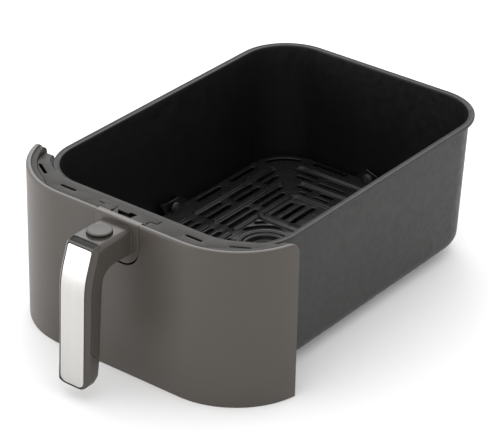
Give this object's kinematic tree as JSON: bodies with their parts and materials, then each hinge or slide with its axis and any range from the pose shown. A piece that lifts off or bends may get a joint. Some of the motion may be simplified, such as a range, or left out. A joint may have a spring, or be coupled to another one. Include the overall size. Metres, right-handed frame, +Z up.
{
  "type": "air fryer drawer",
  "caption": "Pull-out air fryer drawer: rounded pan with a slotted crisper plate, curved front panel with a ledge, and an upright handle with a release button.",
  "frame": {"origin": "centre of the drawer's footprint (handle to pan rim), on the surface it stands on", "axes": "+X to the right seen from the front, +Y to the back (away from the handle), +Z up"},
  "size_m": [0.262, 0.4104, 0.1374],
  "materials": {
    "pan": "satin non-stick coating",
    "plate": "satin non-stick coating",
    "steel": "plain zinc-plated steel",
    "spring_steel": "bright wire",
    "silicone": "matt silicone",
    "panel_plastic": "fine satin",
    "ledge_plastic": "fine satin",
    "handle_plastic": "satin",
    "frame_plastic": "satin",
    "inlay": "fine satin silver",
    "button_plastic": "satin",
    "lever_plastic": "plain moulded"
  },
  "bodies": {
    "drawer": {"bracket_rivets": "steel", "escutcheon": "panel_plastic", "front_panel": "panel_plastic", "handle_core": "steel", "handle_front_shell": "frame_plastic", "handle_inlay": "inlay", "handle_rear_shell": "handle_plastic", "handle_screws": "steel", "latch_pin": "steel", "ledge_cover": "ledge_plastic", "neck_screws": "steel", "pan": "pan", "pan_bracket": "steel", "pan_feet": "silicone", "panel_base": "ledge_plastic", "panel_screws": "steel"},
    "plate": {"crisper_plate": "plate", "plate_legs": "plate", "leg_caps": "silicone", "bumper_front": "silicone", "bumper_right": "silicone", "bumper_back": "silicone", "bumper_left": "silicone"},
    "button": {"release_button": "button_plastic", "button_spring": "spring_steel"},
    "lever": {"latch_lever": "lever_plastic", "latch_spring": "spring_steel"}
  },
  "joints": [
    {"name": "plate_lift", "type": "slide", "parent": "drawer", "child": "plate", "axis": [0, 0, 1], "range_m": [0, 0.14]},
    {"name": "button_press", "type": "slide", "parent": "drawer", "child": "button", "axis": [0, 0, -1], "range_m": [0, 0.002], "stiffness_N_per_m": 1500, "springref_m": -0.001, "deforming": ["button_spring"]},
    {"name": "latch_tilt", "type": "hinge", "parent": "drawer", "child": "lever", "pos_m": [0, -0.18575, 0.1195], "axis": [-1, 0, 0], "range_deg": [0, 7.4], "deforming": ["latch_spring"]}
  ],
  "couplings": [
    {"joint": "latch_tilt", "follows": "button_press", "rad_per_m": 64.5}
  ]
}
